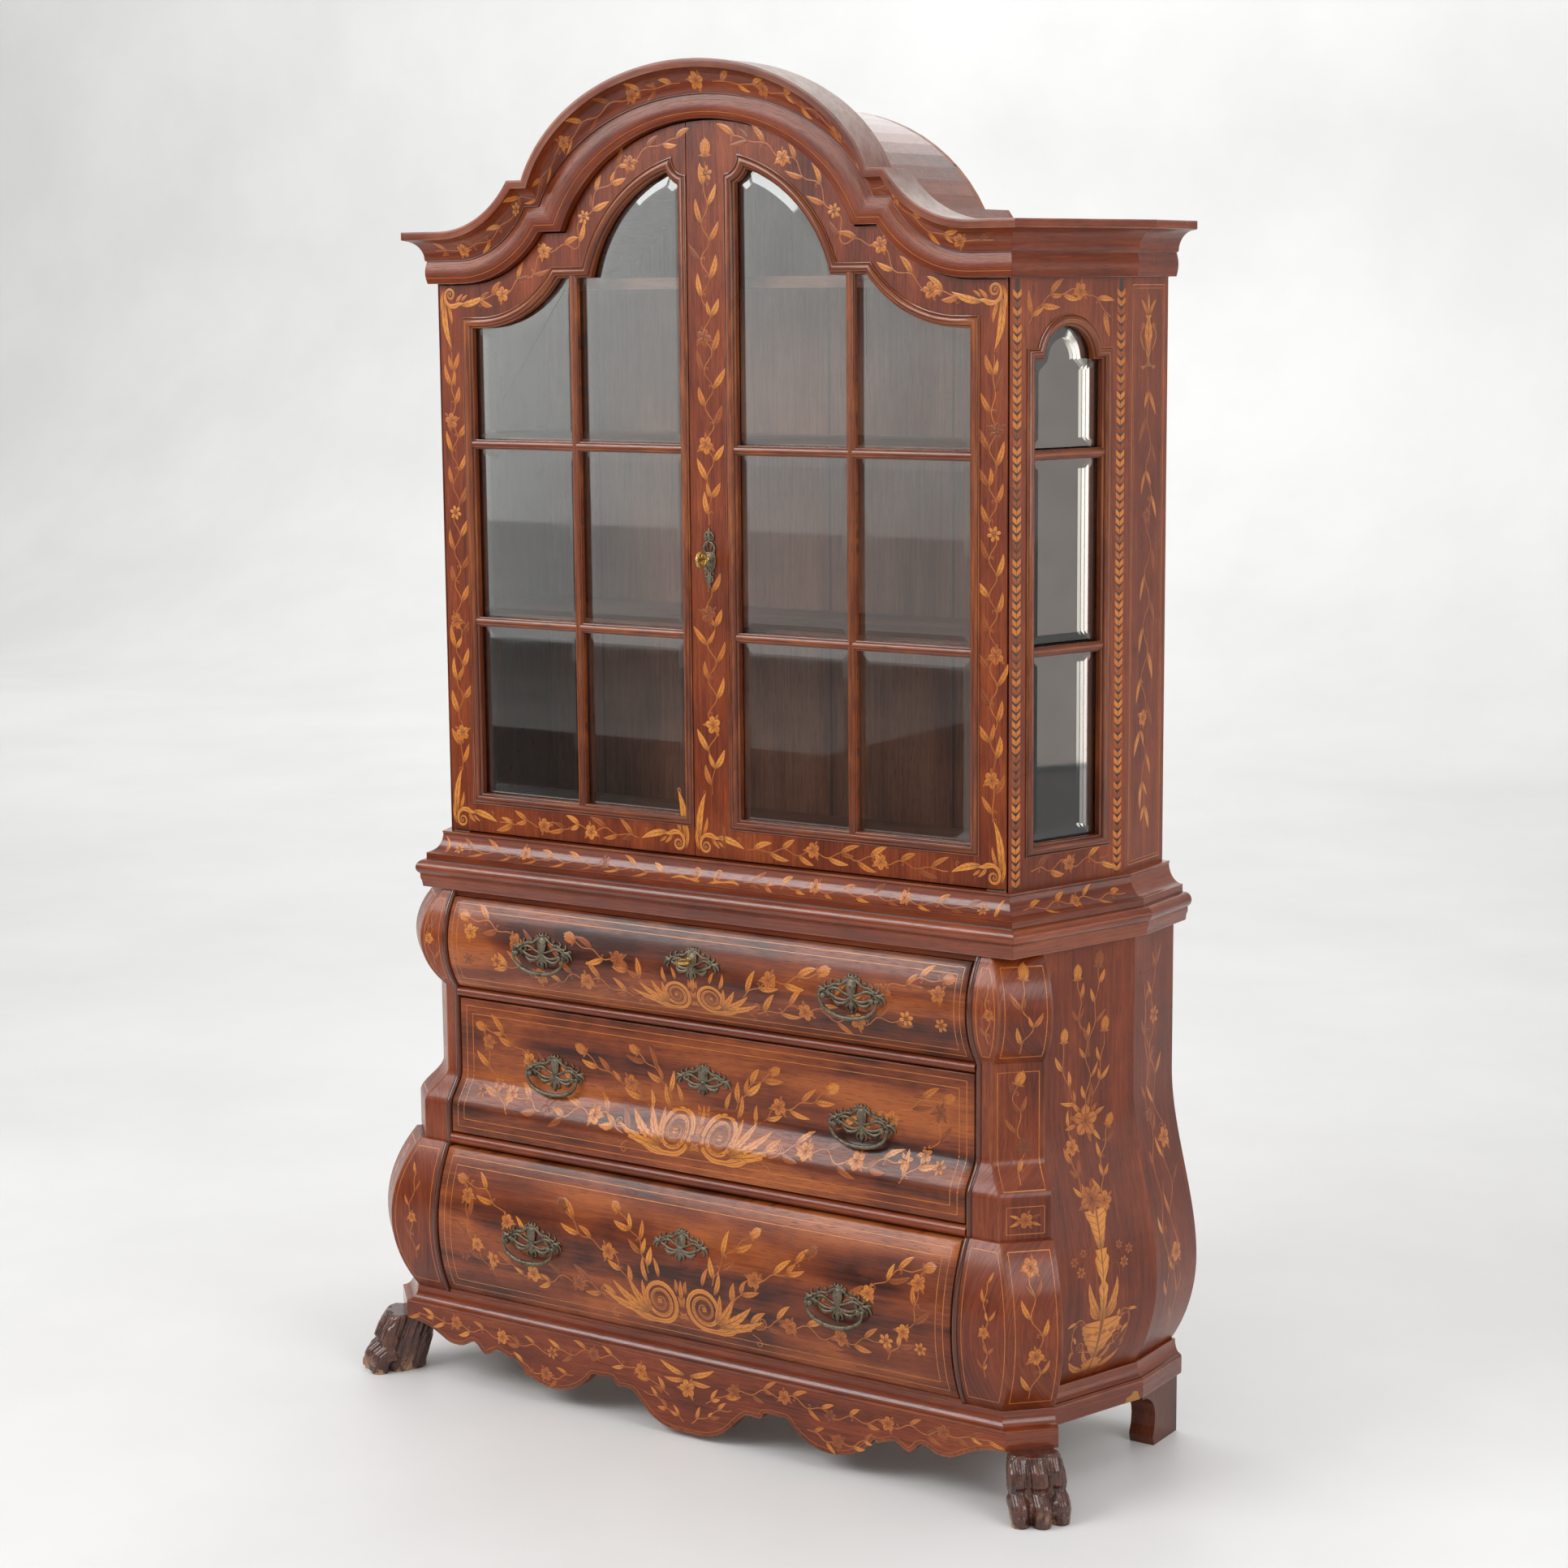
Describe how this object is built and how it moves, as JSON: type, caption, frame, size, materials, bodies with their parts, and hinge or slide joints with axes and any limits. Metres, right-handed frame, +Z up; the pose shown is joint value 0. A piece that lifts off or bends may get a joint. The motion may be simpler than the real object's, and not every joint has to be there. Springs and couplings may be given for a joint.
{
  "type": "china cabinet with glass doors",
  "caption": "Free-standing china cabinet: a glazed case with an arched cornice, hinged doors and canted sides on a bombe base of drawers with bail handles and paw feet.",
  "frame": {"origin": "on the floor, in the middle of the whole object's bounding box", "axes": "+X to the viewer's right, front faces -Y, +Z up"},
  "size_m": [1.3838, 0.5012, 2.169],
  "materials": {
    "marquetry_veneer": "figured red-brown veneer with light marquetry, french polished",
    "moulding_wood": "polished mahogany mouldings",
    "dark_wood": "dark stained and polished wood",
    "interior_wood": "satin mahogany boards",
    "carcass_wood": "unpolished secondary wood",
    "bevelled_glass": "clear bevelled panes",
    "aged_brass": "aged brass with dark patina in the hollows",
    "gilt_brass": "bright gilt brass"
  },
  "bodies": {
    "cabinet": {"cornice_front": "moulding_wood", "cornice_sides": "moulding_wood", "frieze": "moulding_wood", "roof_board": "carcass_wood", "vitrine_back": "interior_wood", "vitrine_floor": "interior_wood", "side_frame_left": "marquetry_veneer", "side_frame_right": "marquetry_veneer", "side_mouldings": "moulding_wood", "side_glass": "bevelled_glass", "shelves": "interior_wood", "shelf_supports": "interior_wood", "door_pivots": "aged_brass", "waist_moulding": "moulding_wood", "base_top": "carcass_wood", "base_side_left": "marquetry_veneer", "base_side_right": "marquetry_veneer", "pilaster_left": "marquetry_veneer", "pilaster_right": "marquetry_veneer", "drawer_rails": "dark_wood", "drawer_runners": "carcass_wood", "base_back": "carcass_wood", "base_bottom": "carcass_wood", "plinth_moulding": "moulding_wood", "apron": "marquetry_veneer", "paw_foot_left": "dark_wood", "paw_foot_right": "dark_wood", "rear_feet": "dark_wood"},
    "door_left": {"door_left_frame": "marquetry_veneer", "door_left_moulding": "moulding_wood", "door_left_glass": "bevelled_glass", "door_left_fittings": "aged_brass"},
    "door_right": {"door_right_frame": "marquetry_veneer", "door_right_moulding": "moulding_wood", "door_right_glass": "bevelled_glass", "door_right_fittings": "aged_brass", "door_lock": "aged_brass", "door_escutcheon": "aged_brass"},
    "door_key": {"door_key": "gilt_brass"},
    "door_bolt": {"door_lock_bolt": "aged_brass"},
    "bolt_upper": {"left_bolt_upper": "aged_brass"},
    "bolt_lower": {"left_bolt_lower": "aged_brass"},
    "drawer_upper": {"drawer_upper_front": "marquetry_veneer", "drawer_upper_box": "carcass_wood", "drawer_upper_mounts": "aged_brass", "drawer_lock": "aged_brass"},
    "bail_upper_left": {"drawer_upper_bail_left": "aged_brass"},
    "bail_upper_right": {"drawer_upper_bail_right": "aged_brass"},
    "drawer_middle": {"drawer_middle_front": "marquetry_veneer", "drawer_middle_box": "carcass_wood", "drawer_middle_mounts": "aged_brass"},
    "bail_middle_left": {"drawer_middle_bail_left": "aged_brass"},
    "bail_middle_right": {"drawer_middle_bail_right": "aged_brass"},
    "drawer_lower": {"drawer_lower_front": "marquetry_veneer", "drawer_lower_box": "carcass_wood", "drawer_lower_mounts": "aged_brass"},
    "bail_lower_left": {"drawer_lower_bail_left": "aged_brass"},
    "bail_lower_right": {"drawer_lower_bail_right": "aged_brass"},
    "drawer_key": {"drawer_key": "gilt_brass"},
    "drawer_bolt": {"drawer_lock_bolt": "aged_brass"}
  },
  "joints": [
    {"name": "door_left_hinge", "type": "hinge", "parent": "cabinet", "child": "door_left", "pos_m": [-0.5285, -0.1064, 1.412], "axis": [0, 0, -1], "range_deg": [0, 105]},
    {"name": "door_right_hinge", "type": "hinge", "parent": "cabinet", "child": "door_right", "pos_m": [0.5285, -0.1064, 1.412], "axis": [0, 0, 1], "range_deg": [0, 105]},
    {"name": "door_key_turn", "type": "hinge", "parent": "door_right", "child": "door_key", "pos_m": [0, -0.1094, 1.409], "axis": [0, 1, 0], "range_deg": [0, 90]},
    {"name": "door_bolt_slide", "type": "slide", "parent": "door_right", "child": "door_bolt", "axis": [-1, 0, 0], "range_m": [0, 0.008]},
    {"name": "bolt_upper_slide", "type": "slide", "parent": "door_left", "child": "bolt_upper", "axis": [0, 0, 1], "range_m": [0, 0.012]},
    {"name": "bolt_lower_slide", "type": "slide", "parent": "door_left", "child": "bolt_lower", "axis": [0, 0, -1], "range_m": [0, 0.012]},
    {"name": "drawer_upper_slide", "type": "slide", "parent": "cabinet", "child": "drawer_upper", "axis": [0, -1, 0], "range_m": [0, 0.27]},
    {"name": "bail_upper_left_swing", "type": "hinge", "parent": "drawer_upper", "child": "bail_upper_left", "pos_m": [-0.298, -0.18532, 0.757], "axis": [-1, 0, 0], "range_deg": [0, 85]},
    {"name": "bail_upper_right_swing", "type": "hinge", "parent": "drawer_upper", "child": "bail_upper_right", "pos_m": [0.298, -0.18532, 0.757], "axis": [-1, 0, 0], "range_deg": [0, 85]},
    {"name": "drawer_middle_slide", "type": "slide", "parent": "cabinet", "child": "drawer_middle", "axis": [0, -1, 0], "range_m": [0, 0.27]},
    {"name": "bail_middle_left_swing", "type": "hinge", "parent": "drawer_middle", "child": "bail_middle_left", "pos_m": [-0.298, -0.1564, 0.548], "axis": [-1, 0, 0], "range_deg": [0, 85]},
    {"name": "bail_middle_right_swing", "type": "hinge", "parent": "drawer_middle", "child": "bail_middle_right", "pos_m": [0.298, -0.1564, 0.548], "axis": [-1, 0, 0], "range_deg": [0, 85]},
    {"name": "drawer_lower_slide", "type": "slide", "parent": "cabinet", "child": "drawer_lower", "axis": [0, -1, 0], "range_m": [0, 0.27]},
    {"name": "bail_lower_left_swing", "type": "hinge", "parent": "drawer_lower", "child": "bail_lower_left", "pos_m": [-0.298, -0.22881, 0.28], "axis": [-1, 0, 0], "range_deg": [0, 85]},
    {"name": "bail_lower_right_swing", "type": "hinge", "parent": "drawer_lower", "child": "bail_lower_right", "pos_m": [0.298, -0.22881, 0.28], "axis": [-1, 0, 0], "range_deg": [0, 85]},
    {"name": "drawer_key_turn", "type": "hinge", "parent": "drawer_upper", "child": "drawer_key", "pos_m": [0, -0.1494, 0.782], "axis": [0, 1, 0], "range_deg": [0, 90]},
    {"name": "drawer_bolt_slide", "type": "slide", "parent": "drawer_upper", "child": "drawer_bolt", "axis": [0, 0, 1], "range_m": [0, 0.008]}
  ],
  "couplings": [
    {"joint": "door_key_turn", "follows": "door_bolt_slide", "rad_per_m": 196.3},
    {"joint": "drawer_key_turn", "follows": "drawer_bolt_slide", "rad_per_m": 196.3}
  ]
}
